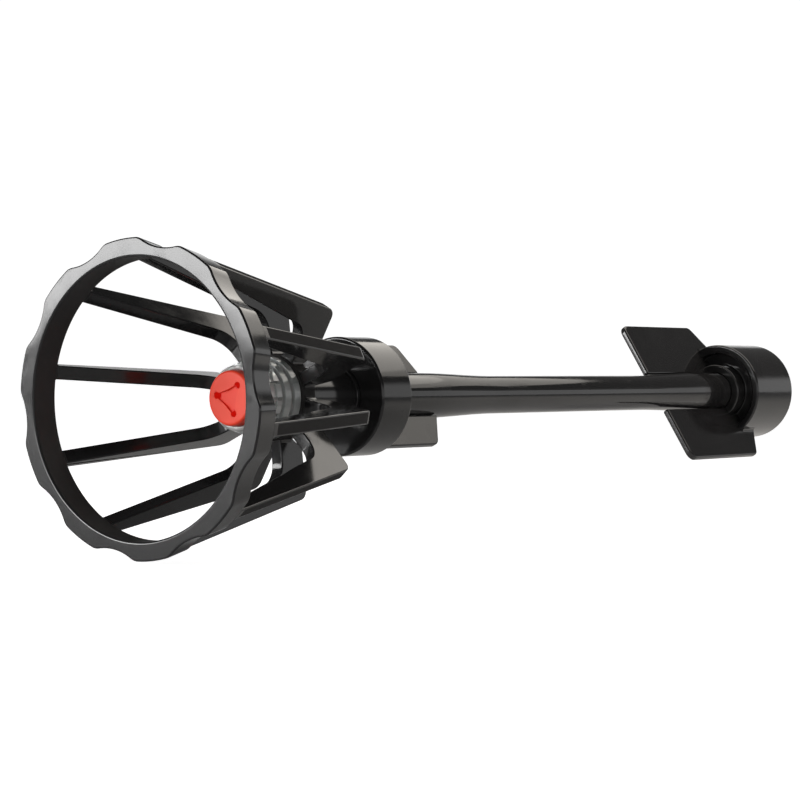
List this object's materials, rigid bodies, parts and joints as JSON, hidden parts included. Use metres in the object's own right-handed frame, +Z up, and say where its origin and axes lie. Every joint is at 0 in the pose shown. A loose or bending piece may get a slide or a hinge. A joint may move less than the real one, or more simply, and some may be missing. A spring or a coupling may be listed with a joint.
{
  "type": "caged rotary spray lance",
  "caption": "Spray lance with a ribbed guard cage round a spinning red jet disc in a clear housing, a black tube, and a winged swivel nut at each end.",
  "frame": {"origin": "on the lance's axis at the first full turn of the hose thread, 0.8 mm inside the hose nut's open end", "axes": "+Y along the lance towards the hose, so the spray leaves towards -Y; +Z up; +X to the side that the rear nut's lower wing leans to"},
  "size_m": [0.1012, 0.401, 0.1012],
  "materials": {
    "black_moulding": "glossy injection-moulded black plastic",
    "black_tube": "glossy black plastic tube",
    "red_plastic": "semi-gloss red-orange plastic",
    "clear_plastic": "clear moulded plastic",
    "black_nylon": "matt black nylon",
    "white_acetal": "natural white acetal",
    "seal_rubber": "black rubber seal",
    "washer_rubber": "dark rubber washer",
    "bush_brass": "turned brass",
    "stainless": "stainless steel"
  },
  "bodies": {
    "lance": {"lance_tube": "black_tube", "front_flange": "black_nylon", "rear_flange": "black_nylon", "front_tube_o_ring": "seal_rubber", "rear_tube_o_ring": "seal_rubber", "front_seal": "seal_rubber", "cage_rim": "black_moulding", "cage_ribs": "black_moulding", "cage_hub": "black_moulding", "nozzle_housing": "clear_plastic", "housing_o_ring": "seal_rubber", "flow_guide": "white_acetal", "rotor_bush": "bush_brass"},
    "rotor": {"jet_rotor": "red_plastic", "rotor_shaft": "stainless", "drive_turbine": "white_acetal", "thrust_washer": "white_acetal", "shaft_clip": "stainless"},
    "front_nut": {"front_wing_nut": "black_moulding", "front_slip_washer": "white_acetal"},
    "rear_nut": {"rear_wing_nut": "black_moulding", "rear_slip_washer": "white_acetal", "inlet_washer": "washer_rubber", "inlet_screen": "stainless"}
  },
  "joints": [
    {"name": "rotor_spin", "type": "hinge", "parent": "lance", "child": "rotor", "pos_m": [0, -0.3502, 0], "axis": [0, 1, 0], "continuous": true},
    {"name": "front_nut_turn", "type": "hinge", "parent": "lance", "child": "front_nut", "pos_m": [0, -0.2922, 0], "axis": [0, 1, 0], "continuous": true},
    {"name": "rear_nut_swivel", "type": "hinge", "parent": "lance", "child": "rear_nut", "pos_m": [0, -0.0242, 0], "axis": [0, 1, 0], "continuous": true}
  ]
}
